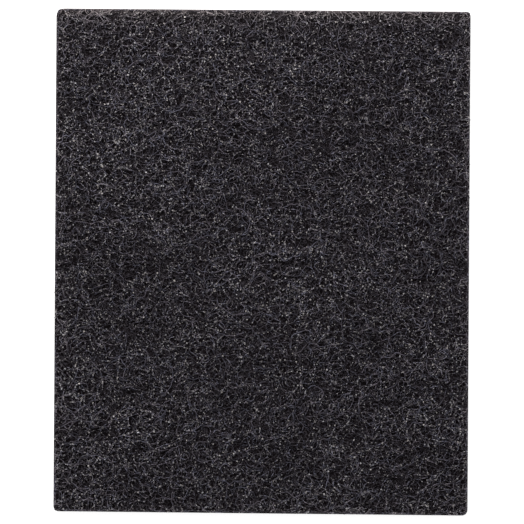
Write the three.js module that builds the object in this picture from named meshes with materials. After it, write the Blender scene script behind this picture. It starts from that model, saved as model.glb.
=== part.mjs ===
// A polishing felt pad: one rectangle of lofty non-woven web, stamped out of a wider sheet with a steel rule die.
//
// Millimetres, +Z up. The pad lies on its back, and the origin is at the middle of its back. +Y runs along its
// length and +X across its width, so the far edge is at +Y and the right edge at +X.
//
// The web is a tangle of curled strands, bonded where they cross. It is pressed level while its resin cures, so
// the outermost strands of a face lie in one plane, with open pores between them. The die squeezes the web as it
// cuts, so both faces roll over towards the cut edge.

import * as THREE from "three";

// The sheet
const padWidth = 115;
const padLength = 139.8;
const padThickness = 6;

// What the bent steel rule makes of the rectangle: its corners, how far its short edges fall out of square, and
// how much longer its right edge is than its left
const farLeftRadius = 1.9;
const farRightRadius = 0.9;
const nearLeftRadius = 1.3;
const nearRightRadius = 1.5;
const shortEdgeFall = 0.37;
const rightEdgeExtra = 0.3;

// The rolled edge: a quarter of an ellipse, from the wall inwards and from the face down. The rule enters at the
// front, so the front rolls over further than the back.
const rollWidth = 2.2;
const frontRollDepth = 1.2;
const backRollDepth = 0.5;
const wallPoreDepth = 0.35;

// The strands of a face: arcs of many sizes, each starting in a square of its own
const strandPitch = 8.5;
const strandWidth = 1.5;
const shortestStrand = 10;
const longestStrand = 26;
const tightestCurl = 4;
const widestCurl = 15;

// How far the lowest strands lie below the highest. The back was pressed flat on the belt.
const frontLoft = 0.5;
const backLoft = 0;

// The pores between the strands: how deep the shallowest and the deepest are, and how steep their sides
const shallowestPore = 0.6;
const deepestPore = 1.5;
const poreSlope = 1.5;

// The net of points that carries a face: its cells between the rolled edges, and the steps of a roll and of the
// wall. The plainer back takes fewer. A point may leave its place for a strand by this share of a cell.
const frontCellsAcross = 51;
const frontCellsAlong = 62;
const backCellsAcross = 28;
const backCellsAlong = 34;
const rollSteps = 3;
const wallSteps = 2;
const strayShare = 0.24;

const fullTurn = 2 * Math.PI;

// A number from 0 to 1 that looks random and is always the same for the same place and purpose. The bits of the
// three whole numbers are multiplied by large primes and folded together.
function scatter(i, j, purpose) {
  let bits = Math.imul(i, 374761393) + Math.imul(j, 668265263) + Math.imul(purpose, 1442695041);
  bits = Math.imul(bits ^ (bits >>> 13), 1274126177);
  bits = Math.imul(bits ^ (bits >>> 15), 2246822519);
  return ((bits ^ (bits >>> 16)) >>> 0) / 2 ** 32;
}

function between(low, high, share) {
  return low + (high - low) * share;
}

// A strand that starts in the square (i, j): an arc of a circle, and how far it lies below the highest strands.
// A third of the strands lie in that highest plane.
function makeStrand(i, j, face) {
  const draw = (purpose) => scatter(i, j, face.seed + purpose);
  const radius = between(tightestCurl, widestCurl, draw(1));
  const start = fullTurn * draw(2);
  return {
    radius,
    start,
    sweep: Math.min(between(shortestStrand, longestStrand, draw(3)) / radius, fullTurn * 0.85),
    centreX: (i + draw(4)) * strandPitch - radius * Math.cos(start),
    centreY: (j + draw(5)) * strandPitch - radius * Math.sin(start),
    sunk: face.loft * Math.max(0, between(-0.5, 1, draw(6))),
  };
}

// Every strand of a face, with those that reach over the edges of the pad.
function makeTangle(face) {
  const columns = Math.ceil((padWidth / 2 + longestStrand) / strandPitch);
  const rows = Math.ceil((padLength / 2 + longestStrand) / strandPitch);
  const strands = [];
  for (let i = -columns; i < columns; i++) {
    for (let j = -rows; j < rows; j++) strands.push(makeStrand(i, j, face));
  }
  return strands;
}

// The point of a strand's middle line that is nearest to (x, y), and its distance.
function nearestOn(strand, x, y) {
  const heading = Math.atan2(y - strand.centreY, x - strand.centreX);
  const past = THREE.MathUtils.euclideanModulo(heading - strand.start, fullTurn);
  const end = past - strand.sweep < fullTurn - past ? strand.sweep : 0;
  const along = strand.start + (past <= strand.sweep ? past : end);
  const nearX = strand.centreX + strand.radius * Math.cos(along);
  const nearY = strand.centreY + strand.radius * Math.sin(along);
  return { x: nearX, y: nearY, distance: Math.hypot(x - nearX, y - nearY) };
}

// The nearest point of a whole tangle.
function nearestStrand(tangle, x, y) {
  let best = { distance: Infinity };
  for (const strand of tangle) {
    const found = nearestOn(strand, x, y);
    if (found.distance < best.distance) best = found;
  }
  return best;
}

// How far a face lies below its highest plane at (x, y): level on a strand, sloping down beside it, and never
// deeper than the floor of the pore.
function depthAt(tangle, x, y, poreFloor) {
  let depth = poreFloor;
  for (const strand of tangle) {
    const beside = Math.max(0, nearestOn(strand, x, y).distance - strandWidth / 2);
    depth = Math.min(depth, strand.sunk + beside * poreSlope);
  }
  return depth;
}

// A square corner of the rectangle becomes a round one: points of the corner's square move to a quarter disc.
function roundCorner(x, y) {
  const left = y > 0 ? farLeftRadius : nearLeftRadius;
  const right = y > 0 ? farRightRadius : nearRightRadius;
  const radius = x > 0 ? right : left;
  const pastX = Math.abs(x) - (padWidth / 2 - radius);
  const pastY = Math.abs(y) - (padLength / 2 - radius);
  if (pastX <= 0 || pastY <= 0) return { x, y };
  const pulledX = pastX * (1 - Math.sqrt(1 - (pastY / radius) ** 2 / 2));
  const pulledY = pastY * (1 - Math.sqrt(1 - (pastX / radius) ** 2 / 2));
  return { x: x - Math.sign(x) * pulledX, y: y - Math.sign(y) * pulledY };
}

// Where the real die has a point of the plain rectangle. The last term keeps the origin in the middle.
function onDie(x, y) {
  const rounded = roundCorner(x, y);
  const towardsRight = rounded.x / padWidth;
  const towardsFar = rounded.y / padLength;
  const rise = towardsRight * towardsFar * rightEdgeExtra + rightEdgeExtra / 4;
  return { x: rounded.x, y: rounded.y - towardsRight * shortEdgeFall + rise };
}

// The lines of a net along one direction: close together in the rolled edges, even between them.
function netLines(length, cells) {
  const lines = [];
  for (let step = 0; step < rollSteps; step++) {
    lines.push(-length / 2 + rollWidth * (1 - Math.cos((step / rollSteps) * (Math.PI / 2))));
  }
  const innerHalf = length / 2 - rollWidth;
  for (let cell = 0; cell <= cells; cell++) lines.push(between(-innerHalf, innerHalf, cell / cells));
  for (let step = rollSteps - 1; step >= 0; step--) lines.push(-lines[step]);
  return lines;
}

// A net with its places in order round the cut edge, anticlockwise from the near left corner.
function makeNet(cellsAcross, cellsAlong) {
  const across = netLines(padWidth, cellsAcross);
  const along = netLines(padLength, cellsAlong);
  const lastColumn = across.length - 1;
  const lastRow = along.length - 1;
  const rim = [];
  for (let i = 0; i < lastColumn; i++) rim.push([i, 0]);
  for (let j = 0; j < lastRow; j++) rim.push([lastColumn, j]);
  for (let i = lastColumn; i > 0; i--) rim.push([i, lastRow]);
  for (let j = lastRow; j > 0; j--) rim.push([0, j]);
  return { across, along, lastColumn, lastRow, rim };
}

// How many lines in from the cut edge a place of the net is.
function stepsIn(net, i, j) {
  return Math.min(i, net.lastColumn - i, j, net.lastRow - j);
}

// A place inside the rolled edges moves towards the nearest strand, so that ridges follow the strands.
function strayPlace(net, tangle, i, j) {
  const x = net.across[i];
  const y = net.along[j];
  if (stepsIn(net, i, j) <= rollSteps) return { x, y };
  const cell = Math.min(x - net.across[i - 1], y - net.along[j - 1]);
  const strand = nearestStrand(tangle, x, y);
  const share = Math.min(1, (strayShare * cell) / strand.distance);
  return { x: between(x, strand.x, share), y: between(y, strand.y, share) };
}

// The points of one face, row by row. The depth below its plane is kept for the folds of the net.
function facePoints(face) {
  const { net } = face;
  const tangle = makeTangle(face);
  const points = [];
  for (let j = 0; j <= net.lastRow; j++) {
    for (let i = 0; i <= net.lastColumn; i++) {
      const stray = strayPlace(net, tangle, i, j);
      const poreFloor = between(shallowestPore, deepestPore, scatter(i, j, face.seed));
      const swell = Math.sin((Math.min(stepsIn(net, i, j), rollSteps) / rollSteps) * (Math.PI / 2));
      const relief = depthAt(tangle, stray.x, stray.y, poreFloor) * swell;
      const depth = relief + face.rollDepth * (1 - swell);
      const place = onDie(stray.x, stray.y);
      points.push({ x: place.x, y: place.y, z: face.plane - face.outward * depth, depth });
    }
  }
  return points;
}

// The two triangles of each cell of a face. A cell folds along its higher diagonal, so that a strand that runs
// over it stays whole.
function faceTriangles(face, points) {
  const { across, along, lastColumn, lastRow } = face.net;
  const triangles = [];
  for (let j = 0; j < lastRow; j++) {
    for (let i = 0; i < lastColumn; i++) {
      const a = j * across.length + i;
      const b = a + 1;
      const c = b + across.length;
      const d = a + across.length;
      const rising = points[a].depth + points[c].depth;
      const falling = points[b].depth + points[d].depth;
      const towardsCorner = across[i] + across[i + 1] > 0 === along[j] + along[j + 1] > 0;
      const foldRising = rising === falling ? towardsCorner : rising < falling;
      const folded = foldRising ? [a, b, c, a, c, d] : [a, b, d, b, c, d];
      if (face.outward < 0) folded.reverse();
      triangles.push(...folded);
    }
  }
  return triangles;
}

// One row of points round the wall, at a share of its height, with the cut ends of the web set back at random.
function wallPoints(net, step) {
  const z = between(backRollDepth, padThickness - frontRollDepth, step / wallSteps);
  return net.rim.map(([i, j]) => {
    const setBack = wallPoreDepth * scatter(i, j, step);
    const pull = (value, size) => THREE.MathUtils.clamp(value, setBack - size / 2, size / 2 - setBack);
    return { ...onDie(pull(net.across[i], padWidth), pull(net.along[j], padLength)), z };
  });
}

// A ring of points round the pad: each one's index, and how far round the plain rectangle it lies.
function makeRing(net, indexOf) {
  const corner = { x: -padWidth / 2, y: -padLength / 2 };
  return net.rim.map(([i, j], k) => {
    const out = Math.abs(net.across[i] - corner.x) + Math.abs(net.along[j] - corner.y);
    const returning = k >= net.lastColumn + net.lastRow;
    return { index: indexOf(i, j, k), reach: returning ? 2 * (padWidth + padLength) - out : out };
  });
}

// The band between a lower and an upper ring. The rings may have different counts: at each step the band takes
// the next point of whichever ring is behind.
function bandTriangles(lower, upper) {
  const triangles = [];
  const at = (ring, k) => ring[k % ring.length].index;
  const nextReach = (ring, k) => (k + 1 < ring.length ? ring[k + 1].reach : 2 * (padWidth + padLength));
  let low = 0;
  let up = 0;
  while (low < lower.length || up < upper.length) {
    const lowerBehind = nextReach(lower, low) <= nextReach(upper, up);
    if (up === upper.length || (lowerBehind && low < lower.length)) {
      triangles.push(at(lower, low), at(lower, low + 1), at(upper, up));
      low++;
    } else {
      triangles.push(at(lower, low), at(upper, up + 1), at(upper, up));
      up++;
    }
  }
  return triangles;
}

function feltGeometry() {
  const front = {
    net: makeNet(frontCellsAcross, frontCellsAlong),
    seed: 10,
    loft: frontLoft,
    rollDepth: frontRollDepth,
    plane: padThickness,
    outward: 1,
  };
  const back = {
    net: makeNet(backCellsAcross, backCellsAlong),
    seed: 150,
    loft: backLoft,
    rollDepth: backRollDepth,
    plane: 0,
    outward: -1,
  };
  const points = [];
  const triangles = [];
  const rings = [];
  for (const face of [back, front]) {
    const first = points.length;
    const onFace = facePoints(face);
    points.push(...onFace);
    triangles.push(...faceTriangles(face, onFace).map((index) => index + first));
    rings.push(makeRing(face.net, (i, j) => first + j * face.net.across.length + i));
  }
  const [backRing, frontRing] = rings;
  let lower = backRing;
  for (let step = 1; step < wallSteps; step++) {
    const first = points.length;
    points.push(...wallPoints(front.net, step));
    const upper = makeRing(front.net, (i, j, k) => first + k);
    triangles.push(...bandTriangles(lower, upper));
    lower = upper;
  }
  triangles.push(...bandTriangles(lower, frontRing));

  const geometry = new THREE.BufferGeometry();
  const coordinates = points.flatMap((point) => [point.x, point.y, point.z]);
  geometry.setAttribute("position", new THREE.Float32BufferAttribute(coordinates, 3));
  geometry.setIndex(triangles);
  geometry.computeVertexNormals();
  return geometry;
}

const felt = new THREE.MeshStandardMaterial({ color: 0x2e2c2f, roughness: 0.85, metalness: 0, flatShading: true });
const feltPad = new THREE.Mesh(feltGeometry(), felt);
feltPad.name = "felt_pad";

const group = new THREE.Group();
group.add(feltPad);

export default group;
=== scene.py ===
"""A polishing felt pad: one rectangle of open non-woven web, lying on its back and seen from straight above.

The web is built the way the real one is laid: plies of curled fibre over a dark felted middle, a few long
smooth strands, a ply on the cut wall, and the fine grit that the resin holds on the fibres. Everything is
in metres, in the frame of the CAD part. Sizes that a maker would name are fields in millimetres, and MM
turns them into metres.
"""

import logging
import math
from dataclasses import dataclass
from enum import Enum
from typing import Any

import bpy
import numpy as np
from mathutils import Matrix, Vector

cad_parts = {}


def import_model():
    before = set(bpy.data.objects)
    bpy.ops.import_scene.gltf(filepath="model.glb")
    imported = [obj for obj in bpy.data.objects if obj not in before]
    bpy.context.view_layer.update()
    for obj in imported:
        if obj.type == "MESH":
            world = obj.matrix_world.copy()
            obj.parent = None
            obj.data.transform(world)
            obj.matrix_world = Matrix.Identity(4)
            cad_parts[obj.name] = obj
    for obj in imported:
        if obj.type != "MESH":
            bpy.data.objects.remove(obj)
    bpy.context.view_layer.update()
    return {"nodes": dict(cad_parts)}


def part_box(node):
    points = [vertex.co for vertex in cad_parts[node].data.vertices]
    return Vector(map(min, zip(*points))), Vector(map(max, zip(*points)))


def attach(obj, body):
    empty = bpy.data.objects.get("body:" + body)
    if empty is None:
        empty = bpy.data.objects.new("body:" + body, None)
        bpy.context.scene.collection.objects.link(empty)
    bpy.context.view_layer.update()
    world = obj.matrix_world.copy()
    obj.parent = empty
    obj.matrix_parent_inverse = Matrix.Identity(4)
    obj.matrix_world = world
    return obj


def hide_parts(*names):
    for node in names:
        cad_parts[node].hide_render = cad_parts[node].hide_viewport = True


MM = 0.001
NODE = "felt_pad"
BODY = "root"
# The attribute carries a fibre's own tone times its painted light and shade, or a grain's shade.
LIGHT_AND_TINT = "fibre_tint_and_painted_light"
# The attribute carries the paler cut rim: partly bare fibre, partly painted rim light.
RIM_LIGHT_AND_FRAY = "cut_edge_fray_and_painted_rim_light"
BAKE_MAP = "OFBake"

# A noise keeps most of its values between these two.
NOISE_LOW, NOISE_HIGH = 0.38, 0.62
# The share of its own rectangle of the map that a tube's walls take up, along and round.
TUBE_MAP = (0.92, 0.8)
# The rows of tubes on the map for each column, because a tube is long and thin.
TUBE_ROWS = 3
# A tube's cap on the map, as a share of one of its walls.
CAP_MAP = 0.3
# The low and the high corner of a grain's triangle in its square of the map.
GRAIN_MAP = (0.05, 0.95)
# Taken off a count of grid lines, it keeps a place on the last line inside the last cell.
LAST_LINE = 1.001
# Keeps the length of a still path from being nothing.
TINY = 1e-12

log = logging.getLogger("felt_pad")


class Side(Enum):
    """A face of the pad. The value is the way that it looks along Z."""

    FRONT = 1
    BACK = -1


def linear(colour: str) -> tuple[float, float, float, float]:
    """Turns an sRGB hex colour into the linear numbers that a shader takes.

    Args:
        colour: six hex digits after a hash sign.

    Returns:
        Red, green and blue, each (c + 0.055) / 1.055 to the power 2.4, or c / 12.92 when dark, and alpha.
    """
    shares = [int(colour[i : i + 2], 16) / 255 for i in (1, 3, 5)]
    red, green, blue = (c / 12.92 if c <= 0.04045 else ((c + 0.055) / 1.055) ** 2.4 for c in shares)
    return red, green, blue, 1.0


def add(
    tree: bpy.types.NodeTree,
    kind: str,
    inputs: dict[Any, Any] | None = None,
    **settings: Any,
) -> bpy.types.Node:
    """Adds a node with its settings and its inputs.

    Args:
        tree: the node tree that gets the node.
        kind: the node's type name.
        inputs: for each input, by name or number, a value or the output that feeds it.
        **settings: the node's own properties.

    Returns:
        The new node.
    """
    node = tree.nodes.new(kind)
    for name, value in settings.items():
        setattr(node, name, value)
    for name, value in (inputs or {}).items():
        if isinstance(value, bpy.types.NodeSocket):
            tree.links.new(value, node.inputs[name])
        else:
            node.inputs[name].default_value = value
    return node


def fade(edge0: float, edge1: float, value: np.ndarray) -> np.ndarray:
    """A smooth step from 0 at edge0 to 1 at edge1: 3t squared less 2t cubed.

    Args:
        edge0: where the step begins.
        edge1: where it ends.
        value: the places to work it out at.

    Returns:
        The step at each place.
    """
    share = np.clip((value - edge0) / (edge1 - edge0), 0, 1)
    return share * share * (3 - 2 * share)


@dataclass
class DieOutline:
    """The outline that the steel rule die cuts: a rectangle with round corners, a little out of true.

    Points are given on the plain rectangle, where the test for inside is simple, and to_die moves them to
    where the real die has them.
    """

    width: float
    length: float
    far_left_mm: float = 1.9
    far_right_mm: float = 0.9
    near_left_mm: float = 1.3
    near_right_mm: float = 1.5
    short_edge_fall_mm: float = 0.37
    right_edge_extra_mm: float = 0.3

    @classmethod
    def of_box(cls, low: Vector, high: Vector) -> "DieOutline":
        """Takes the plain rectangle's size from the CAD part's box.

        Args:
            low: the box's lowest corner.
            high: its highest corner.

        Returns:
            The outline. The box is longer than the rectangle by what the short edges fall.
        """
        fall = cls.short_edge_fall_mm * MM
        return cls(width=high.x - low.x, length=high.y - low.y - fall)

    def to_die(self, x: np.ndarray, y: np.ndarray) -> tuple[np.ndarray, np.ndarray]:
        """Moves points of the plain rectangle to the real outline.

        A corner's square goes to a quarter disc: each of its two coordinates, as a share of the radius,
        is multiplied by the root of 1 less half the other one squared. Then the short edges fall to the
        right, and the right edge spreads, with a quarter of the spread added everywhere to keep the box
        in the middle.

        Args:
            x: places across the rectangle.
            y: places along it.

        Returns:
            The two coordinates on the real outline.
        """
        left = np.where(y > 0, self.far_left_mm, self.near_left_mm)
        right = np.where(y > 0, self.far_right_mm, self.near_right_mm)
        radius = np.where(x > 0, right, left) * MM
        past_x = np.abs(x) - (self.width / 2 - radius)
        past_y = np.abs(y) - (self.length / 2 - radius)
        at_corner = (past_x > 0) & (past_y > 0)
        share_x = np.clip(past_x / radius, 0, 1) * at_corner
        share_y = np.clip(past_y / radius, 0, 1) * at_corner
        round_x = x - np.sign(x) * past_x * (1 - np.sqrt(1 - share_y**2 / 2))
        round_y = y - np.sign(y) * past_y * (1 - np.sqrt(1 - share_x**2 / 2))
        to_right = round_x / self.width
        to_far = round_y / self.length
        spread = self.right_edge_extra_mm * MM
        rise = to_right * to_far * spread + spread / 4 - to_right * self.short_edge_fall_mm * MM
        return round_x, round_y + rise


@dataclass
class RimLightAndFray:
    """How pale the cut rim is: partly fibre that the die rubbed bare, partly painted light on the rim, most
    at the far edge.
    """

    # The far edge takes the most painted rim light.
    far: float = 1.5
    sides: float = 0.4
    near: float = 0.3
    reach_mm: float = 2.2
    rim: float = 1.0
    rim_mm: float = 0.5

    def at(self, outline: DieOutline, x: np.ndarray, y: np.ndarray) -> np.ndarray:
        """The share at places of the plain rectangle.

        It is the greatest of the edges' own values, each times what is left at that distance from the
        edge: e to the power of minus the distance over the reach, plus the rim's value times the same
        with the rim's own reach.

        Args:
            outline: the die's outline.
            x: places across.
            y: places along.

        Returns:
            The shares.
        """
        edges = (
            (self.far, outline.length / 2 - y),
            (self.near, outline.length / 2 + y),
            (self.sides, outline.width / 2 - np.abs(x)),
        )
        reach, rim = self.reach_mm * MM, self.rim_mm * MM
        shares = [
            value * (np.exp(-apart / reach) + self.rim * np.exp(-apart / rim))
            for value, apart in edges
        ]
        return np.maximum.reduce(shares)


@dataclass
class WebClouds:
    """How thickly the web was laid: patches with more fibre and grit at the face, and patches with less."""

    patches_mm: tuple[float, float] = (9.0, 26.0)
    depth: float = 0.095
    seed: int = 1991
    span: int = 64

    def at(self, x: np.ndarray, y: np.ndarray) -> np.ndarray:
        """The web's thickness at any places, about 1.

        It is e to the power of the depth times a sum of random heights, one set for each size of patch.
        They stand on a square grid, span points wide, and between its points they follow smooth steps.

        Args:
            x: places across the pad.
            y: places along it.

        Returns:
            The shares.
        """
        rng = np.random.default_rng(self.seed)
        total = np.zeros_like(x)
        for patch in self.patches_mm:
            heights = rng.normal(0, 1, (self.span, self.span))
            u, v = x / (patch * MM) + self.span / 2, y / (patch * MM) + self.span / 2
            i, j = np.floor(u).astype(int), np.floor(v).astype(int)
            u, v = fade(0, 1, u - i), fade(0, 1, v - j)
            low = heights[j, i] * (1 - u) + heights[j, i + 1] * u
            high = heights[j + 1, i] * (1 - u) + heights[j + 1, i + 1] * u
            total += low * (1 - v) + high * v
        return np.exp(self.depth * total)


@dataclass
class FaceRelief:
    """The height of one face of the CAD part, on a grid that can be read anywhere.

    A point belongs to a face when it is more than the skin's share of the thickness away from the middle.
    The softening is the share of the pitch that keeps a weight finite where a point stands on the grid.
    """

    pitch: float
    corner: np.ndarray
    heights: np.ndarray
    skin: float = 0.2
    softening: float = 0.2

    @classmethod
    def of_node(cls, node: bpy.types.Object, side: Side, pitch_mm: float = 1.0) -> "FaceRelief":
        """Reads a face's relief from the CAD node's own points.

        Each grid height is the mean of the face's points, each weighted by its distance to the power of
        minus 4.

        Args:
            node: the CAD node's object.
            side: the face to read.
            pitch_mm: the grid's pitch.

        Returns:
            The relief.
        """
        points = np.empty(len(node.data.vertices) * 3, np.float32)
        node.data.vertices.foreach_get("co", points)
        points = np.unique(np.round(points.reshape(-1, 3), 6), axis=0)
        low, high = points.min(0), points.max(0)
        middle = (low[2] + high[2]) / 2
        face = points[(points[:, 2] - middle) * side.value > (high[2] - low[2]) * cls.skin]
        pitch = pitch_mm * MM
        counts = np.ceil((high[:2] - low[:2]) / pitch).astype(int) + 1
        xs = low[0] + pitch * np.arange(counts[0])
        ys = low[1] + pitch * np.arange(counts[1])
        heights = np.empty((counts[1], counts[0]), np.float32)
        for row, y in enumerate(ys):
            apart = (xs[:, None] - face[None, :, 0]) ** 2 + (y - face[None, :, 1]) ** 2
            weight = 1 / (apart + (cls.softening * pitch) ** 2) ** 2
            heights[row] = (weight @ face[:, 2]) / weight.sum(1)
        return cls(pitch=pitch, corner=low[:2], heights=heights)

    def at(self, x: np.ndarray, y: np.ndarray) -> np.ndarray:
        """Reads the height at any places, by straight lines between the four grid heights around each.

        Args:
            x: places across the pad.
            y: places along it.

        Returns:
            The heights.
        """
        rows, columns = self.heights.shape
        u = np.clip((x - self.corner[0]) / self.pitch, 0, columns - LAST_LINE)
        v = np.clip((y - self.corner[1]) / self.pitch, 0, rows - LAST_LINE)
        i, j = u.astype(int), v.astype(int)
        u, v = u - i, v - j
        low = self.heights[j, i] * (1 - u) + self.heights[j, i + 1] * u
        high = self.heights[j + 1, i] * (1 - u) + self.heights[j + 1, i + 1] * u
        return low * (1 - v) + high * v


@dataclass
class MeshParts:
    """The numbers that make a mesh: points, faces as corner lists, and what points and corners carry."""

    points: np.ndarray
    corners: np.ndarray
    sides: np.ndarray
    # Each point's own tone with painted light and shade in it.
    painted_light_and_tint: np.ndarray | None = None
    # Each point's paler cut rim: partly bare fibre, partly painted rim light.
    rim_light_and_fray: np.ndarray | None = None
    bake_uv: np.ndarray | None = None


def make_piece(
    name: str,
    parts: MeshParts,
    material: bpy.types.Material,
    smooth: bool = True,
) -> bpy.types.Object:
    """Makes a piece of the pad, with its place in its mesh, and sets it on the part's one body.

    Args:
        name: the piece's name.
        parts: its mesh.
        material: its finish.
        smooth: whether light runs smoothly over its faces.

    Returns:
        The new object.
    """
    mesh = bpy.data.meshes.new(name)
    mesh.vertices.add(len(parts.points))
    mesh.vertices.foreach_set("co", parts.points.astype(np.float32).ravel())
    mesh.loops.add(len(parts.corners))
    mesh.loops.foreach_set("vertex_index", parts.corners.astype(np.int32))
    mesh.polygons.add(len(parts.sides))
    starts = np.concatenate([[0], np.cumsum(parts.sides)[:-1]])
    mesh.polygons.foreach_set("loop_start", starts.astype(np.int32))
    mesh.polygons.foreach_set("use_smooth", np.full(len(parts.sides), smooth))
    if parts.painted_light_and_tint is not None:
        mesh.attributes.new(LIGHT_AND_TINT, "FLOAT", "POINT").data.foreach_set("value", parts.painted_light_and_tint.astype(np.float32))
    if parts.rim_light_and_fray is not None:
        mesh.attributes.new(RIM_LIGHT_AND_FRAY, "FLOAT", "POINT").data.foreach_set("value", parts.rim_light_and_fray.astype(np.float32))
    if parts.bake_uv is not None:
        mesh.uv_layers.new(name=BAKE_MAP).uv.foreach_set("vector", parts.bake_uv.astype(np.float32).ravel())
    mesh.update(calc_edges=True)
    mesh.validate()
    mesh.materials.append(material)
    piece = bpy.data.objects.new(name, mesh)
    bpy.context.scene.collection.objects.link(piece)
    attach(piece, BODY)
    log.info("%s: %d points, %d triangles", name, len(parts.points), int((parts.sides - 2).sum()))
    return piece


@dataclass
class LaidFibres:
    """Fibres in their places: middle lines, radii, and two shares that their material reads.

    The light is the painted light and shade that the material mixes into each point's colour, and the rim
    share says how bare the die left the fibre and how much painted rim light it has.
    """

    paths: np.ndarray
    radii: np.ndarray
    light: np.ndarray
    rim_light_and_fray: np.ndarray


def sweep_tubes(laid: LaidFibres, sides: int = 3) -> MeshParts:
    """Carries a small regular polygon along every path, and closes both of its ends.

    At each point the polygon stands square to the path, and its first corner looks up: a corner is the
    path's point plus the radius times the cosine of its angle upwards and the sine across. Each tube gets
    a rectangle of its own on the map that holds its colours, its length across and its girth up.

    Args:
        laid: the fibres, with their paths as tubes by points by 3, and the rest as tubes by points.
        sides: the polygon's sides.

    Returns:
        The mesh of all the tubes.
    """
    tubes, count, _ = laid.paths.shape
    along = np.gradient(laid.paths, axis=1)
    along /= np.linalg.norm(along, axis=2, keepdims=True) + TINY
    across = np.cross(np.array([0.0, 0.0, 1.0]), along)
    across /= np.linalg.norm(across, axis=2, keepdims=True) + TINY
    up = np.cross(along, across)
    angle = 2 * math.pi * np.arange(sides) / sides
    ring = np.cos(angle)[:, None] * up[:, :, None, :] + np.sin(angle)[:, None] * across[:, :, None, :]
    points = laid.paths[:, :, None, :] + laid.radii[:, :, None, None] * ring

    first = (np.arange(tubes) * count * sides)[:, None, None]
    here = first + (np.arange(count - 1) * sides)[None, :, None] + np.arange(sides)[None, None, :]
    turned = np.roll(here, -1, axis=2)
    walls = np.stack([here, here + sides, turned + sides, turned], axis=-1).reshape(-1, 4)
    start_cap = first[:, 0] + np.arange(sides)
    end_cap = first[:, 0] + (count - 1) * sides + np.arange(sides)[::-1]
    caps = np.concatenate([start_cap, end_cap])

    columns = max(1, int(math.sqrt(tubes / TUBE_ROWS)))
    rows = math.ceil(tubes / columns)
    cell = np.arange(tubes)
    left, low = (cell % columns) / columns, (cell // columns) / rows
    step_u, step_v = TUBE_MAP[0] / columns / (count - 1), TUBE_MAP[1] / rows / sides
    u0 = left[:, None, None] + step_u * np.arange(count - 1)[None, :, None] + 0 * here
    v0 = low[:, None, None] + step_v * np.arange(sides)[None, None, :] + 0 * here
    steps = ((0, 0), (step_u, 0), (step_u, step_v), (0, step_v))
    wall_uv = np.stack([np.stack([u0 + du, v0 + dv], axis=-1) for du, dv in steps], axis=-2).reshape(-1, 2)
    spot = np.stack([np.cos(angle), np.sin(angle)], axis=-1) * CAP_MAP
    corner = np.stack([left + step_u, low + step_v], axis=-1)
    cap_uv = corner[:, None, :] + spot[None] * np.array([step_u, step_v])
    cap_uv = np.concatenate([cap_uv, cap_uv[:, ::-1] + np.array([step_u * (count - 3), 0])]).reshape(-1, 2)

    return MeshParts(
        points=points.reshape(-1, 3),
        corners=np.concatenate([walls.ravel(), caps.ravel()]),
        sides=np.concatenate([np.full(len(walls), 4), np.full(len(caps), sides)]),
        painted_light_and_tint=np.repeat(laid.light.ravel(), sides),
        rim_light_and_fray=np.repeat(laid.rim_light_and_fray.ravel(), sides),
        bake_uv=np.concatenate([wall_uv, cap_uv]),
    )


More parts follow.
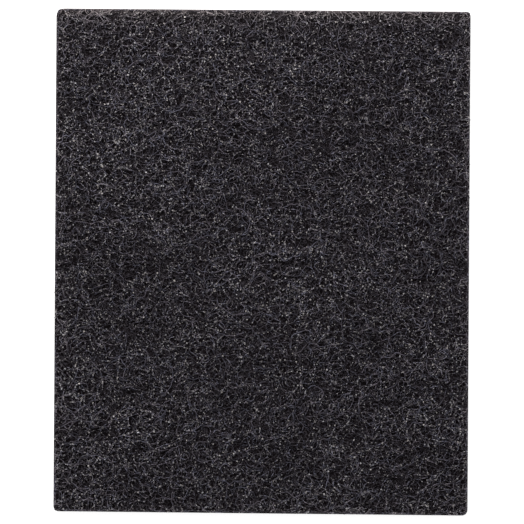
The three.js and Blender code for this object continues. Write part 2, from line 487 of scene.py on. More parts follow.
@dataclass
class CurledFibres:
    """How a ply's fibres are laid: their number, their lengths and the way they curl.

    The wave's turn is its widest swing in radians, and the least swing is the smallest share of that.
    """

    count: int
    seed: int
    shortest_mm: float = 2.0
    longest_mm: float = 7.0
    tightest_curl_mm: float = 1.0
    widest_curl_mm: float = 4.5
    wave_mm: tuple[float, float] = (2.0, 5.0)
    wave_turn: float = 0.75
    least_swing: float = 0.3
    points: int = 7
    least_mm: float = 1.2
    step_mm: float = 0.25
    lie: float = 0.93

    def lay(self, width: float, length: float) -> tuple[np.ndarray, np.ndarray]:
        """Lays the fibres on a plain rectangle and trims them at its edges.

        A fibre's heading turns at 1 over its curl's radius, and swings by a sine on top of that, and its
        place is the sum of its steps. Steps along Y are shortened by the lie, as a carded web lies a
        little more across. Each fibre starts at a random spot of its own square of a grid over the
        rectangle and round it, so the web is even, and the first stretch inside is kept, where it is long
        enough.

        Args:
            width: the rectangle's size along X.
            length: its size along Y.

        Returns:
            The paths, as fibres by points by 2, and how far along its fibre each point is, in metres.
        """
        rng = np.random.default_rng(self.seed)
        steps = int(self.longest_mm / self.step_mm)
        reach = self.longest_mm * MM
        square = math.sqrt(width * length / self.count)
        across, along = math.ceil((width + reach) / square), math.ceil((length + reach) / square)
        made = across * along
        cell = rng.permutation(made)
        x0 = ((cell % across + rng.uniform(0, 1, made)) / across - 0.5) * (width + reach)
        y0 = ((cell // across + rng.uniform(0, 1, made)) / along - 0.5) * (length + reach)
        size = rng.uniform(self.shortest_mm, self.longest_mm, made) * MM
        curl = 1 / (rng.uniform(self.tightest_curl_mm, self.widest_curl_mm, made) * MM)
        curl *= rng.choice([-1.0, 1.0], made)
        wave = 2 * math.pi / (rng.uniform(*self.wave_mm, made) * MM)
        swing = self.wave_turn * rng.uniform(self.least_swing, 1.0, made)
        phase = rng.uniform(0, 2 * math.pi, made)
        heading0 = rng.uniform(0, 2 * math.pi, made)
        gone = self.step_mm * MM * np.arange(steps)
        sway = swing[:, None] * np.sin(wave[:, None] * gone + phase[:, None])
        heading = heading0[:, None] + curl[:, None] * gone + sway
        x = x0[:, None] + np.cumsum(np.cos(heading), axis=1) * self.step_mm * MM
        y = y0[:, None] + np.cumsum(np.sin(heading), axis=1) * self.step_mm * MM * self.lie

        inside = (np.abs(x) < width / 2) & (np.abs(y) < length / 2) & (gone[None] < size[:, None])
        start = inside.argmax(axis=1)
        after = np.arange(steps)[None] > start[:, None]
        stop = np.where((~inside & after).any(axis=1), (~inside & after).argmax(axis=1), steps) - 1
        run = stop - start
        kept = np.flatnonzero(inside.any(axis=1) & (run * self.step_mm >= self.least_mm))[: self.count]
        place = start[kept, None] + run[kept, None] * np.linspace(0, 1, self.points)[None]
        low = np.floor(place).astype(int).clip(0, steps - 2)
        share = place - low
        path = []
        for walk in (x[kept], y[kept]):
            before = np.take_along_axis(walk, low, 1)
            beyond = np.take_along_axis(walk, low + 1, 1)
            path.append(before * (1 - share) + beyond * share)
        return np.stack(path, axis=-1), place * self.step_mm * MM


def drift(tree: bpy.types.NodeTree, cool: str, warm: str, patch_mm: float) -> bpy.types.NodeSocket:
    """Adds a colour that drifts between two hues from one patch to the next.

    Args:
        tree: the material's nodes.
        cool: one colour.
        warm: the other one.
        patch_mm: how large a patch is.

    Returns:
        The colour.
    """
    place = add(tree, "ShaderNodeTexCoord").outputs["Object"]
    noise = add(tree, "ShaderNodeTexNoise", {"Vector": place, "Scale": 1 / (patch_mm * MM), "Detail": 0.0})
    share = add(
        tree,
        "ShaderNodeMapRange",
        {"Value": noise.outputs["Fac"], "From Min": NOISE_LOW, "From Max": NOISE_HIGH},
    )
    mixed = add(
        tree,
        "ShaderNodeMix",
        {"Factor": share.outputs[0], "A": linear(cool), "B": linear(warm)},
        data_type="RGBA",
    )
    return mixed.outputs["Result"]


def blank_material(name: str) -> bpy.types.Material:
    """Makes a material without any nodes.

    Args:
        name: the material's name.

    Returns:
        The material.
    """
    material = bpy.data.materials.new(name)
    material.use_nodes = True
    material.node_tree.nodes.clear()
    return material


@dataclass(frozen=True)
class CoatedFibre:
    """Nylon staple fibre under a coat of phenolic resin, dark, hard and slightly glossy.

    The resin dries thick in some places and thin in others, so one fibre runs from near black to grey, and
    painted shade darkens it where it lies deep in the web. A bead stands where a noise passes from the first
    of the bead's noises to the second: partly a bead of resin, partly a painted highlight where the coated
    fibre would catch the light. Near the cut the fibre is paler: partly fibre that the die rubbed bare,
    partly painted rim light. Real fibre is about 0.1 mm thick, too fine to show: it and its beads are drawn
    coarser, as thick as they look in the photograph.
    """

    name: str
    # The colour at nil share: a fibre's darkest tone in full painted shade.
    deep_shade: str = "#1a1418"
    cool: str = "#7e7e90"
    warm: str = "#857e8a"
    hue_mm: float = 1.4
    # The cut rim's colour: partly bare fibre, partly painted rim light.
    frayed_and_rim_lit: str = "#a39a9d"
    # The beads are partly resin and partly painted highlights.
    bead_and_glint_mm: float = 0.44
    bead_and_glint_noise: tuple[float, float] = (0.47, 0.7)
    least_share: float = 0.28
    bead_and_glint_share: float = 1.82
    roughness: float = 0.45
    specular: float = 0.16

    def make(self) -> bpy.types.Material:
        """Builds the material: each fibre's own tone with painted light and shade in the web, times beads of
        resin and painted highlights along it.

        Returns:
            The material.
        """
        material = blank_material(self.name)
        tree = material.node_tree
        place = add(tree, "ShaderNodeTexCoord").outputs["Object"]
        # Carries the fibre's own tone times painted shade at depth and painted light at the rim.
        painted_light_and_tint = add(tree, "ShaderNodeAttribute", attribute_name=LIGHT_AND_TINT).outputs["Fac"]
        noise = add(
            tree,
            "ShaderNodeTexNoise",
            {"Vector": place, "Scale": 1 / (self.bead_and_glint_mm * MM), "Detail": 0.5},
        )
        # Beads of resin, partly painted highlights where a coated fibre would catch the light.
        beads_and_glints = add(
            tree,
            "ShaderNodeMapRange",
            {
                "Value": noise.outputs["Fac"],
                "From Min": self.bead_and_glint_noise[0],
                "From Max": self.bead_and_glint_noise[1],
                "To Min": self.least_share,
                "To Max": self.bead_and_glint_share,
            },
            interpolation_type="SMOOTHSTEP",
        )
        shade = add(
            tree,
            "ShaderNodeMath",
            {0: painted_light_and_tint, 1: beads_and_glints.outputs[0]},
            operation="MULTIPLY",
            use_clamp=True,
        )
        rim_light_and_fray = add(tree, "ShaderNodeAttribute", attribute_name=RIM_LIGHT_AND_FRAY).outputs["Fac"]
        coat = add(
            tree,
            "ShaderNodeMix",
            {"Factor": rim_light_and_fray, "A": drift(tree, self.cool, self.warm, self.hue_mm), "B": linear(self.frayed_and_rim_lit)},
            data_type="RGBA",
        )
        colour = add(
            tree,
            "ShaderNodeMix",
            {"Factor": shade.outputs[0], "A": linear(self.deep_shade), "B": coat.outputs["Result"]},
            data_type="RGBA",
        )
        shader = add(
            tree,
            "ShaderNodeBsdfPrincipled",
            {
                "Base Color": colour.outputs["Result"],
                "Roughness": self.roughness,
                "Specular IOR Level": self.specular,
            },
        )
        add(tree, "ShaderNodeOutputMaterial", {"Surface": shader.outputs[0]})
        return material


@dataclass
class WebPly:
    """One ply of curled fibre under a face of the pad.

    Along a fibre, its depth rises and falls by the loft, and its thickness by the swell's share, at the
    swell's pace to one wave of the loft. A bias over 1 makes dark tints more common than pale ones. The
    seed's step keeps the ply's draws apart from those of its fibres' curls.
    """

    name: str
    side: Side
    fibres: CurledFibres
    depth_mm: tuple[float, float]
    thickness_mm: tuple[float, float] = (0.2, 0.31)
    loft_mm: float = 0.3
    loft_wave_mm: tuple[float, float] = (3.0, 9.0)
    swell: float = 0.2
    swell_pace: float = 2.3
    # How deep the painted shade reaches: a fibre darkens by e for each such depth.
    shade_mm: float = 0.55
    tints: tuple[float, float] = (0.3, 0.95)
    tint_bias: float = 1.3
    edge_mm: float = 0.06
    seed_step: int = 500

    def lay(self, outline: DieOutline, relief: FaceRelief) -> LaidFibres:
        """Lays the ply under its face, each fibre at a depth of its own, rising and falling by a sine.

        The light painted into a point's colour is its fibre's own tint, times a painted shade of e to the
        power of minus the point's depth over the shade's, times 1 plus the cut rim's share, which is partly
        bare fibre and partly painted rim light, times the web's thickness there.

        Args:
            outline: the die's outline.
            relief: the face's heights.

        Returns:
            The fibres in their places.
        """
        rng = np.random.default_rng(self.fibres.seed + self.seed_step)
        margin = 2 * self.edge_mm * MM
        plan, gone = self.fibres.lay(outline.width - margin, outline.length - margin)
        count = len(plan)
        radius = rng.uniform(*self.thickness_mm, count)[:, None] * MM / 2
        depth = rng.uniform(*self.depth_mm, count)[:, None] * MM
        wave = 2 * math.pi / (rng.uniform(*self.loft_wave_mm, count)[:, None] * MM)
        phase = rng.uniform(0, 2 * math.pi, count)[:, None]
        loft = self.loft_mm * MM * np.sin(wave * gone + phase)
        thick = radius * (1 + self.swell * np.sin(self.swell_pace * wave * gone - phase))
        x, y = outline.to_die(plan[..., 0], plan[..., 1])
        below = np.maximum(depth + loft, thick)
        z = relief.at(x, y) - self.side.value * below
        low, high = self.tints
        own = low + (high - low) * rng.uniform(0, 1, count)[:, None] ** self.tint_bias
        # Paler near the cut: partly bare fibre, partly painted rim light, most at the far edge.
        rim_light_and_fray = RimLightAndFray().at(outline, plan[..., 0], plan[..., 1])
        # Painted shade with depth and painted rim light, times the fibre's own tone and the web's thickness.
        light = own * np.exp(-(below - thick) / (self.shade_mm * MM)) * (1 + rim_light_and_fray) * WebClouds().at(x, y)
        return LaidFibres(paths=np.stack([x, y, z], axis=-1), radii=thick, light=light, rim_light_and_fray=rim_light_and_fray)

    def build(self, laid: LaidFibres, finish: bpy.types.Material) -> bpy.types.Object:
        """Makes the ply's piece from its laid fibres."""
        return make_piece(self.name, sweep_tubes(laid), finish)


@dataclass
class CutWallPly:
    """The fibres that lie along the die's cut, in flat layers, as the web was laid.

    The climb is the share of the wall's height that a fibre rises and falls, and the sway's pace is how
    many times it goes in and out to one wave of the climb.
    """

    name: str
    count: int = 1500
    seed: int = 31
    points: int = 8
    length_mm: tuple[float, float] = (4.0, 10.0)
    thickness_mm: tuple[float, float] = (0.22, 0.32)
    wave_mm: tuple[float, float] = (4.0, 12.0)
    climb: float = 0.084
    sway_pace: float = 1.3
    deepest_mm: float = 0.5
    # How far behind the cut the painted shade reaches.
    shade_mm: float = 0.6
    tints: tuple[float, float] = (0.35, 1.0)
    # The wall's share of the paler rim: partly bare fibre, partly painted rim light.
    wall_rim_light_and_fray: float = 0.15

    def lay(self, outline: DieOutline, top: FaceRelief, bottom: FaceRelief) -> LaidFibres:
        """Lays each fibre along the wall from a random start, waving in height and in and out by sines.

        The light painted into a point's colour is its fibre's own tint, times a painted shade of e to the
        power of minus the distance behind the cut over the shade's, times 1 plus the cut rim's share, which
        is partly bare fibre and partly painted rim light.

        Args:
            outline: the die's outline.
            top: the front face's heights, which the fibres stay under.
            bottom: the back face's, which they stay over.

        Returns:
            The fibres in their places.
        """
        rng = np.random.default_rng(self.seed)
        inset = self.thickness_mm[0] * MM / 2
        half_w, half_l = outline.width / 2 - inset, outline.length / 2 - inset
        around = 4 * (half_w + half_l)
        size = rng.uniform(*self.length_mm, self.count)[:, None] * MM
        radius = rng.uniform(*self.thickness_mm, self.count)[:, None] * MM / 2
        gone = np.linspace(0, 1, self.points)[None] * size
        s = (rng.uniform(0, around, self.count)[:, None] + gone) % around
        wave = 2 * math.pi / (rng.uniform(*self.wave_mm, self.count)[:, None] * MM)
        phase = rng.uniform(0, 2 * math.pi, self.count)[:, None]
        inward = (0.5 + 0.5 * np.sin(wave * gone * self.sway_pace - phase)) * self.deepest_mm * MM
        corners = np.array([0, 2 * half_w, 2 * half_w + 2 * half_l, 4 * half_w + 2 * half_l, around])
        xs = np.array([-half_w, half_w, half_w, -half_w, -half_w])
        ys = np.array([-half_l, -half_l, half_l, half_l, -half_l])
        x, y = np.interp(s, corners, xs), np.interp(s, corners, ys)
        x -= np.sign(x) * np.where(np.abs(x) > half_w - inward, inward - (half_w - np.abs(x)), 0)
        y -= np.sign(y) * np.where(np.abs(y) > half_l - inward, inward - (half_l - np.abs(y)), 0)
        rim_light_and_fray = self.wall_rim_light_and_fray * RimLightAndFray().at(outline, x, y)
        x, y = outline.to_die(x, y)
        high, low = top.at(x, y) - radius, bottom.at(x, y) + radius
        level = rng.uniform(0, 1, self.count)[:, None] + self.climb * np.sin(wave * gone + phase)
        z = low + np.clip(level, 0, 1) * (high - low)
        own = rng.uniform(*self.tints, self.count)[:, None]
        # Painted shade behind the cut and painted rim light, times the fibre's own tone.
        light = own * np.exp(-inward / (self.shade_mm * MM)) * (1 + rim_light_and_fray)
        thick = np.broadcast_to(radius, x.shape)
        return LaidFibres(paths=np.stack([x, y, z], axis=-1), radii=thick, light=light, rim_light_and_fray=rim_light_and_fray)

    def build(self, laid: LaidFibres, finish: bpy.types.Material) -> bpy.types.Object:
        """Makes the wall's piece from its laid fibres."""
        return make_piece(self.name, sweep_tubes(laid), finish)


class GrainShape(Enum):
    """How a crushed grain broke: a block with eight faces, or a splinter with four.

    The value is its corners, in half axes, and its faces.
    """

    BLOCK = (
        ((1, 0, 0), (0, 1, 0), (0, 0, 1), (-1, 0, 0), (0, -1, 0), (0, 0, -1)),
        ((0, 1, 2), (1, 3, 2), (3, 4, 2), (4, 0, 2), (1, 0, 5), (3, 1, 5), (4, 3, 5), (0, 4, 5)),
    )
    SPLINTER = (
        ((0.8, 0.8, 0.8), (-0.8, -0.8, 0.8), (-0.8, 0.8, -0.8), (0.8, -0.8, -0.8)),
        ((0, 2, 1), (0, 1, 3), (0, 3, 2), (1, 2, 3)),
    )


@dataclass
class GritLayer:
    """Crushed grains held on the fibres by the resin.

    The smallest share is how small a grain gets beside the size drawn for it, and the stretch is how far
    each of its half axes is shortened or drawn out. The seat and the stray, as shares of the fibre's
    radius, are how high a grain sits and how far it lies off the fibre's middle line. A paleness over 1
    makes dark grains more common, and a gathering over 0 crowds grains where the web is thick. The least
    light is what a grain keeps on a fibre in full painted shade, as grains take on their fibre's painted
    light and shade.
    """

    name: str
    side: Side
    count: int
    seed: int
    shape: GrainShape = GrainShape.BLOCK
    size_mm: tuple[float, float] = (0.3, 0.72)
    smallest_share: float = 0.6
    stretch: tuple[float, float] = (0.6, 1.3)
    seat: float = 0.7
    stray: float = 0.5
    paleness: float = 2.0
    gathering: float = 1.5
    least_light: float = 0.35

    def build(self, hosts: list[LaidFibres], top: float, finish: bpy.types.Material) -> bpy.types.Object:
        """Sets each grain, its shape stretched and turned at random, on the upper side of a fibre.

        A grain stands at a random place between two points of a random fibre, drawn with odds of the
        web's thickness to the power of the gathering. Its turn is that of a random unit quaternion, and
        its corners are its shape's, times three random half axes. Its shade is a random share to the
        power of the paleness, times its fibre's painted light and shade, times the web's thickness.

        Args:
            hosts: the fibres that hold grains.
            top: the height that no grain passes.
            finish: the material.

        Returns:
            The piece.
        """
        rng = np.random.default_rng(self.seed)
        begins = np.concatenate([host.paths[:, :-1].reshape(-1, 3) for host in hosts])
        ends = np.concatenate([host.paths[:, 1:].reshape(-1, 3) for host in hosts])
        thickness = WebClouds().at(begins[:, 0], begins[:, 1])
        odds = thickness**self.gathering
        pick = rng.choice(len(begins), self.count, p=odds / odds.sum())
        radius = np.concatenate([host.radii[:, :-1].ravel() for host in hosts])[pick]
        light = np.concatenate([host.light[:, :-1].ravel() for host in hosts])[pick]
        share = rng.uniform(0, 1, self.count)[:, None]
        centre = begins[pick] * (1 - share) + ends[pick] * share
        size = rng.uniform(*self.size_mm, self.count)
        size = size * rng.uniform(self.smallest_share, 1, self.count) * MM / 2
        reach = size * self.stretch[1]
        centre[:, 2] += self.side.value * radius * self.seat
        centre[:, :2] += rng.normal(0, 1, (self.count, 2)) * radius[:, None] * self.stray
        centre[:, 2] = np.clip(centre[:, 2], reach, top - reach)
        half = size[:, None] * rng.uniform(*self.stretch, (self.count, 3))

        w, x, y, z = rng.normal(0, 1, (4, self.count))
        long = np.sqrt(w * w + x * x + y * y + z * z)
        w, x, y, z = w / long, x / long, y / long, z / long
        turn = np.stack(
            [
                np.stack([1 - 2 * (y * y + z * z), 2 * (x * y - w * z), 2 * (x * z + w * y)], axis=-1),
                np.stack([2 * (x * y + w * z), 1 - 2 * (x * x + z * z), 2 * (y * z - w * x)], axis=-1),
                np.stack([2 * (x * z - w * y), 2 * (y * z + w * x), 1 - 2 * (x * x + y * y)], axis=-1),
            ],
            axis=1,
        )
        tips, faces = (np.array(part) for part in self.shape.value)
        points = centre[:, None, :] + np.einsum("nij,nkj->nki", turn, tips[None] * half[:, None, :])
        corners = (np.arange(self.count) * len(tips))[:, None, None] + faces[None]
        across = math.ceil(math.sqrt(self.count))
        cell = np.arange(self.count)
        corner = np.stack([cell % across, cell // across], axis=-1) / across
        near, far = GRAIN_MAP
        spot = np.array([[near, near], [far, near], [near, far]]) / across
        # Grains on fibres in painted shade are darkened with them: painted shade.
        lit = self.least_light + (1 - self.least_light) * light / light.max()
        shade = rng.uniform(0, 1, self.count) ** self.paleness * lit * thickness[pick]
        parts = MeshParts(
            points=points.reshape(-1, 3),
            corners=corners.ravel(),
            sides=np.full(self.count * len(faces), 3),
            painted_light_and_tint=np.repeat(shade, len(tips)),
            bake_uv=np.repeat(corner[:, None] + spot[None], len(faces), axis=0).reshape(-1, 2),
        )
        return make_piece(self.name, parts, finish, smooth=False)


@dataclass(frozen=True)
class FeltedMiddle:
    """The web's middle, seen only through the pores: the same coated fibre, packed and in its own shade.

    It gives the eye near black, a painted shade, crossed by faint curly strands: the lines where a slow
    noise passes its middle value, as wide as the strand's width on either side of it. A fine noise breaks
    them up, down to the least grain.
    Next to the cut it is paler, partly rubbed bare and partly painted rim light: by the rub and light's
    share times the rim share to the power of the rub and light's steepness.
    """

    name: str
    deep_shade: str = "#120e10"
    light: str = "#534f56"
    # The rim's colour: partly rubbed bare fibre, partly painted rim light.
    rubbed_and_rim_lit: str = "#6b6466"
    rub_and_rim_light_share: float = 0.12
    rub_and_rim_light_steepness: float = 2.0
    curl_mm: float = 1.1
    strand_width: float = 0.06
    set_shifts: tuple[float, float] = (0.0, 37.0)
    grain_mm: float = 0.4
    grain_noise: tuple[float, float] = (0.35, 0.7)
    least_grain: float = 0.1
    roughness: float = 0.95
    specular: float = 0.05

    def make(self) -> bpy.types.Material:
        """Builds the material: two sets of strands over each other, broken up by a fine noise.

        Returns:
            The material.
        """
        material = blank_material(self.name)
        tree = material.node_tree
        place = add(tree, "ShaderNodeTexCoord").outputs["Object"]
        strands = [self.add_strands(tree, place, shift) for shift in self.set_shifts]
        both = add(tree, "ShaderNodeMath", {0: strands[0], 1: strands[1]}, operation="MAXIMUM")
        noise = add(
            tree,
            "ShaderNodeTexNoise",
            {"Vector": place, "Scale": 1 / (self.grain_mm * MM), "Detail": 1.0},
        )
        grain = add(
            tree,
            "ShaderNodeMapRange",
            {
                "Value": noise.outputs["Fac"],
                "From Min": self.grain_noise[0],
                "From Max": self.grain_noise[1],
                "To Min": self.least_grain,
            },
            clamp=True,
        )
        shade = add(tree, "ShaderNodeMath", {0: both.outputs[0], 1: grain.outputs[0]}, operation="MULTIPLY")
        colour = add(
            tree,
            "ShaderNodeMix",
            {"Factor": shade.outputs[0], "A": linear(self.deep_shade), "B": linear(self.light)},
            data_type="RGBA",
        )
        # Paler next to the cut: partly rubbed bare, partly painted rim light.
        rim_light_and_fray = add(tree, "ShaderNodeAttribute", attribute_name=RIM_LIGHT_AND_FRAY).outputs["Fac"]
        steep = add(tree, "ShaderNodeMath", {0: rim_light_and_fray, 1: self.rub_and_rim_light_steepness}, operation="POWER")
        rub_and_rim_light = add(
            tree,
            "ShaderNodeMath",
            {0: steep.outputs[0], 1: self.rub_and_rim_light_share},
            operation="MULTIPLY",
            use_clamp=True,
        )
        lifted = add(
            tree,
            "ShaderNodeMix",
            {"Factor": rub_and_rim_light.outputs[0], "A": colour.outputs["Result"], "B": linear(self.rubbed_and_rim_lit)},
            data_type="RGBA",
        )
        shader = add(
            tree,
            "ShaderNodeBsdfPrincipled",
            {
                "Base Color": lifted.outputs["Result"],
                "Roughness": self.roughness,
                "Specular IOR Level": self.specular,
            },
        )
        add(tree, "ShaderNodeOutputMaterial", {"Surface": shader.outputs[0]})
        return material

    def add_strands(
        self,
        tree: bpy.types.NodeTree,
        place: bpy.types.NodeSocket,
        shift: float,
    ) -> bpy.types.NodeSocket:
        """Adds one set of strands.

        Args:
            tree: the material's nodes.
            place: the coordinates.
            shift: how far the noise is moved, in millimetres, to differ from the other set.

        Returns:
            The strands, 1 on a strand's middle line and 0 beside it.
        """
        moved = add(tree, "ShaderNodeMapping", {"Vector": place, "Location": (shift * MM, 0, shift * MM)})
        noise = add(
            tree,
            "ShaderNodeTexNoise",
            {"Vector": moved.outputs[0], "Scale": 1 / (self.curl_mm * MM), "Detail": 0.0},
        )
        apart = add(tree, "ShaderNodeMath", {0: noise.outputs["Fac"], 1: 0.5}, operation="SUBTRACT")
        width = add(tree, "ShaderNodeMath", {0: apart.outputs[0]}, operation="ABSOLUTE")
        line = add(
            tree,
            "ShaderNodeMapRange",
            {
                "Value": width.outputs[0],
                "From Min": 0.0,
                "From Max": self.strand_width,
                "To Min": 1.0,
                "To Max": 0.0,
            },
            clamp=True,
        )
        return line.outputs[0]


@dataclass
class WebCore:
    """The closed body of the web under its loose plies. It stands for the CAD part.

    The cover is how much web lies over it, and the rim's cover is what share of that is left at the cut.
    """

    name: str = "web_core"
    cover_mm: float = 1.2
    rim_cover: float = 0.25
    waist_mm: float = 0.45
    waist_rings: int = 5
    pitch_mm: float = 1.1
    roll_mm: float = 1.4

    def build(
        self,
        outline: DieOutline,
        front: FaceRelief,
        back: FaceRelief,
        finish: bpy.types.Material,
    ) -> bpy.types.Object:
        """Builds both faces on one grid and joins them round the wall.

        A face lies under the CAD part's face by the cover, and comes up towards it by a smooth step over
        the last stretch before the wall. The wall goes in by the waist times the sine of its height, from
        0 at the bottom to pi at the top, so that its fibres lie in front of it.

        Args:
            outline: the die's outline.
            front: the front face's heights.
            back: the back face's heights.
            finish: the material.

        Returns:
            The piece.
        """
        half_w, half_l = outline.width / 2, outline.length / 2
        columns = int(2 * half_w / (self.pitch_mm * MM)) + 1
        rows = int(2 * half_l / (self.pitch_mm * MM)) + 1
        gx, gy = np.meshgrid(np.linspace(-half_w, half_w, columns), np.linspace(-half_l, half_l, rows))
        inset = np.minimum(half_w - np.abs(gx), half_l - np.abs(gy))
        x, y = outline.to_die(gx, gy)
        share = self.rim_cover + (1 - self.rim_cover) * fade(0, self.roll_mm * MM, inset)
        cover = self.cover_mm * MM * share
        top = np.stack([x, y, front.at(x, y) - cover], axis=-1).reshape(-1, 3)
        bottom = np.stack([x, y, back.at(x, y) + cover], axis=-1).reshape(-1, 3)
        index = np.arange(rows * columns).reshape(rows, columns)
        four = [index[:-1, :-1], index[:-1, 1:], index[1:, 1:], index[1:, :-1]]
        cells = np.stack(four, axis=-1).reshape(-1, 4)
        ring = np.concatenate([index[0, :-1], index[:-1, -1], index[-1, :0:-1], index[:0:-1, 0]])
        under = rows * columns
        level = np.linspace(1, 0, self.waist_rings + 2)[1:-1, None]
        inset = self.waist_mm * MM * np.sin(math.pi * level)
        ring_x, ring_y = gx.ravel()[ring], gy.ravel()[ring]
        x, y = outline.to_die(ring_x * (1 - inset / half_w), ring_y * (1 - inset / half_l))
        z = bottom[ring, 2] + (top[ring, 2] - bottom[ring, 2]) * level
        waist = np.stack([x, y, z], axis=-1).reshape(-1, 3)
        between = 2 * under + np.arange(len(waist)).reshape(self.waist_rings, -1)
        rings = np.concatenate([ring[None], between, ring[None] + under])
        after = np.roll(rings, -1, axis=1)
        walls = np.stack([rings[1:], after[1:], after[:-1], rings[:-1]], axis=-1).reshape(-1, 4)
        quads = np.concatenate([cells, cells[:, ::-1] + under, walls])
        points = np.concatenate([top, bottom, waist])
        # The core's faces take the paler rim too: partly rubbed bare, partly painted rim light.
        face_rim_light_and_fray = RimLightAndFray().at(outline, gx.ravel(), gy.ravel())
        rim_light_and_fray = np.concatenate([face_rim_light_and_fray, face_rim_light_and_fray, np.zeros(len(waist))])
        parts = MeshParts(points=points, corners=quads.ravel(), sides=np.full(len(quads), 4), rim_light_and_fray=rim_light_and_fray)
        piece = make_piece(self.name, parts, finish)
        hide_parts(NODE)
        return piece


@dataclass(frozen=True)
class GritGrain:
    """Fused alumina grit, crushed: pale, sharp and glassy, with faces that flash.

    It gives the eye the bright specks of the web: its pale colour is partly the grit's own and partly a
    painted highlight for the flash of its faces. Real grains are 0.05 mm, too fine to show, so they are
    drawn coarser, as large as their flashes look in the photograph.
    """

    name: str
    dim: str = "#4a474a"
    # The pale end: partly the grit's own colour, partly a painted highlight for the flash of its faces.
    cool: str = "#efeff6"
    warm: str = "#f8f0ea"
    hue_mm: float = 0.8
    roughness: float = 0.35
    specular: float = 0.5

    def make(self) -> bpy.types.Material:
        """Builds the material: a shade for each grain, from smoky to pale, with its fibre's painted light
        and shade, and a pale end that is partly painted highlight.

        Returns:
            The material.
        """
        material = blank_material(self.name)
        tree = material.node_tree
        # Carries each grain's random shade times its fibre's painted light and shade.
        painted_light_and_tint = add(tree, "ShaderNodeAttribute", attribute_name=LIGHT_AND_TINT).outputs["Fac"]
        colour = add(
            tree,
            "ShaderNodeMix",
            {"Factor": painted_light_and_tint, "A": linear(self.dim), "B": drift(tree, self.cool, self.warm, self.hue_mm)},
            data_type="RGBA",
        )
        shader = add(
            tree,
            "ShaderNodeBsdfPrincipled",
            {
                "Base Color": colour.outputs["Result"],
                "Roughness": self.roughness,
                "Specular IOR Level": self.specular,
            },
        )
        add(tree, "ShaderNodeOutputMaterial", {"Surface": shader.outputs[0]})
        return material


def sight_rays(tree: bpy.types.NodeTree) -> bpy.types.NodeSocket:
    """Tells what the eye sees, straight, in gloss or through glass, from what only lights the object.

    Args:
        tree: the nodes of the floor's material or of the world.

    Returns:
        1 for a camera, glossy or transmission ray, and 0 for any other.
    """
    path = add(tree, "ShaderNodeLightPath")
    near = add(
        tree,
        "ShaderNodeMath",
        {0: path.outputs["Is Camera Ray"], 1: path.outputs["Is Glossy Ray"]},
        operation="MAXIMUM",
    )
    either = add(
        tree,
        "ShaderNodeMath",
        {0: near.outputs[0], 1: path.outputs["Is Transmission Ray"]},
        operation="MAXIMUM",
    )
    return either.outputs[0]


@dataclass(frozen=True)
class SoftLamp:
    """A rectangular lamp that looks at the middle of the pad, in metres, watts and sRGB."""

    name: str
    place: tuple[float, float, float]
    size: tuple[float, float]
    power: float
    colour: str

    def hang(self) -> None:
        """Hangs the lamp in its place, where the camera doesn't see it."""
        data = bpy.data.lights.new(self.name, "AREA")
        data.shape = "RECTANGLE"
        data.size, data.size_y = self.size
        data.energy = self.power
        data.color = linear(self.colour)[:3]
        lamp = bpy.data.objects.new(self.name, data)
        lamp.location = self.place
        lamp.visible_camera = False
        lamp.rotation_euler = (-Vector(self.place)).to_track_quat("-Z", "Y").to_euler()
        bpy.context.scene.collection.objects.link(lamp)


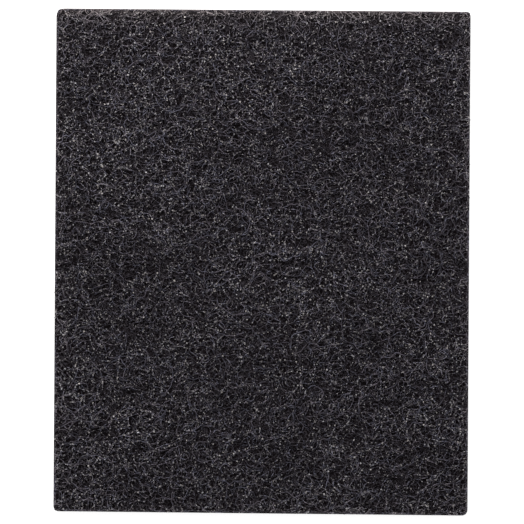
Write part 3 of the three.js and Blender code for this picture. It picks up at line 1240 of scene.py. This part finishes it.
@dataclass
class Studio:
    """The pale floor, the soft lamps and the camera that looks straight down.

    The picture is picture_mm wide at the pad's outline, which the eye takes from a little under its top.
    The floor is seen at its paper's own grey plus the glow, and the sky as white, but it lights the pad
    by the sky's strength.
    """

    picture_mm: float = 145.5
    outline_under_top_mm: float = 1.2
    turn_deg: float = 0.358
    distance: float = 2.4
    sensor_mm: float = 36.0
    clip: tuple[float, float] = (0.1, 20.0)
    floor_half: float = 1.5
    paper: float = 0.8
    glow: float = 0.75
    sky: float = 0.5
    white: float = 1.0
    lamps: tuple[SoftLamp, ...] = (
        SoftLamp("key_softbox", (-0.25, 0.7, 1.0), (0.8, 0.8), 8.6, "#fffcfa"),
        SoftLamp("near_strip", (-0.02, 0.12, 0.06), (0.24, 0.03), 0.055, "#fffaf5"),
    )

    def build(self, top: float) -> None:
        """Sets up the stage.

        Args:
            top: the height of the pad's top.
        """
        self.add_floor()
        self.add_light()
        self.add_camera(top - self.outline_under_top_mm * MM)
        bpy.context.scene.view_settings.view_transform = "Standard"

    def add_floor(self) -> None:
        """Adds a white floor that the camera sees as white, with the pad's shadow left on it."""
        mesh = bpy.data.meshes.new("floor")
        half = self.floor_half
        corners = [(-half, -half, 0), (half, -half, 0), (half, half, 0), (-half, half, 0)]
        mesh.from_pydata(corners, [], [(0, 1, 2, 3)])
        floor = bpy.data.objects.new("floor", mesh)
        bpy.context.scene.collection.objects.link(floor)
        material = blank_material("white_paper_floor")
        tree = material.node_tree
        paper = add(tree, "ShaderNodeBsdfDiffuse", {"Color": (self.paper, self.paper, self.paper, 1)})
        glow = add(tree, "ShaderNodeEmission", {"Strength": self.glow})
        lifted = add(tree, "ShaderNodeAddShader", {0: paper.outputs[0], 1: glow.outputs[0]})
        mixed = add(
            tree,
            "ShaderNodeMixShader",
            {0: sight_rays(tree), 1: paper.outputs[0], 2: lifted.outputs[0]},
        )
        add(tree, "ShaderNodeOutputMaterial", {"Surface": mixed.outputs[0]})
        mesh.materials.append(material)

    def add_light(self) -> None:
        """Adds an even white sky, a soft lamp high beyond the far edge and a faint strip low beyond it."""
        world = bpy.data.worlds.new("soft_room")
        world.use_nodes = True
        tree = world.node_tree
        tree.nodes.clear()
        strength = add(
            tree,
            "ShaderNodeMapRange",
            {"Value": sight_rays(tree), "To Min": self.sky, "To Max": self.white},
        )
        back = add(tree, "ShaderNodeBackground", {"Color": (1, 1, 1, 1), "Strength": strength.outputs[0]})
        add(tree, "ShaderNodeOutputWorld", {"Surface": back.outputs[0]})
        bpy.context.scene.world = world
        for lamp in self.lamps:
            lamp.hang()

    def add_camera(self, level: float) -> None:
        """Adds the camera over the pad's middle, turned as the photograph has the pad.

        Args:
            level: the height at which the picture is picture_mm wide.
        """
        data = bpy.data.cameras.new("camera")
        data.sensor_width = self.sensor_mm
        data.lens = self.distance * self.sensor_mm / (self.picture_mm * MM)
        data.clip_start, data.clip_end = self.clip
        camera = bpy.data.objects.new("camera", data)
        turn = Matrix.Rotation(math.radians(self.turn_deg), 4, "Z")
        camera.matrix_world = Matrix.Translation((0, 0, level + self.distance)) @ turn
        bpy.context.scene.collection.objects.link(camera)
        bpy.context.scene.camera = camera


def main() -> None:
    """Loads the frame, builds the pad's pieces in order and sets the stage."""
    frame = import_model()
    node = frame["nodes"][NODE]
    low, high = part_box(NODE)
    outline = DieOutline.of_box(low, high)
    front = FaceRelief.of_node(node, Side.FRONT)
    back = FaceRelief.of_node(node, Side.BACK)
    log.info("outline %.2f by %.2f mm", outline.width / MM, outline.length / MM)

    fibre = CoatedFibre("resin_coated_nylon_fibre").make()
    strand = CoatedFibre("nylon_strand_with_little_resin", least_share=0.8, bead_and_glint_share=1.15).make()
    grit = GritGrain("crushed_alumina_grit_with_painted_glints").make()
    WebCore().build(outline, front, back, FeltedMiddle("felted_fibre_in_shade").make())

    outer_curls = CurledFibres(count=3000, seed=11, longest_mm=8, points=8)
    middle_curls = CurledFibres(count=5000, seed=12)
    inner_curls = CurledFibres(count=6000, seed=13, points=6)
    back_curls = CurledFibres(count=2400, seed=14, longest_mm=9, points=8)
    plies = [
        WebPly("web_front_outer", Side.FRONT, outer_curls, depth_mm=(0.05, 0.5)),
        WebPly("web_front_middle", Side.FRONT, middle_curls, depth_mm=(0.15, 0.9)),
        WebPly("web_front_inner", Side.FRONT, inner_curls, depth_mm=(0.4, 1.3)),
        WebPly("web_back", Side.BACK, back_curls, depth_mm=(0.05, 0.9)),
    ]
    laid = [ply.lay(outline, front if ply.side is Side.FRONT else back) for ply in plies]
    for ply, fibres in zip(plies, laid):
        ply.build(fibres, fibre)

    long_curls = CurledFibres(
        count=420,
        seed=15,
        shortest_mm=6,
        longest_mm=13,
        tightest_curl_mm=2.5,
        widest_curl_mm=9,
        points=12,
    )
    strands = WebPly(
        "web_front_strands",
        Side.FRONT,
        long_curls,
        depth_mm=(0.02, 0.25),
        tints=(0.35, 0.7),
    )
    strands.build(strands.lay(outline, front), strand)
    wall = CutWallPly("web_cut_wall")
    wall.build(wall.lay(outline, front, back), fibre)

    blocks = GritLayer("grit_front", Side.FRONT, count=9000, seed=21)
    splinters = GritLayer(
        "grit_splinters_front",
        Side.FRONT,
        count=27000,
        seed=23,
        shape=GrainShape.SPLINTER,
        size_mm=(0.3, 0.5),
        paleness=2.1,
    )
    back_blocks = GritLayer("grit_back", Side.BACK, count=4000, seed=22)
    for layer, hosts in ((blocks, laid[:2]), (splinters, laid[:3]), (back_blocks, laid[3:])):
        layer.build(hosts, high.z, grit)
    Studio().build(high.z)


if __name__ == "__main__":
    logging.basicConfig(level=logging.INFO, format="%(message)s")
    main()
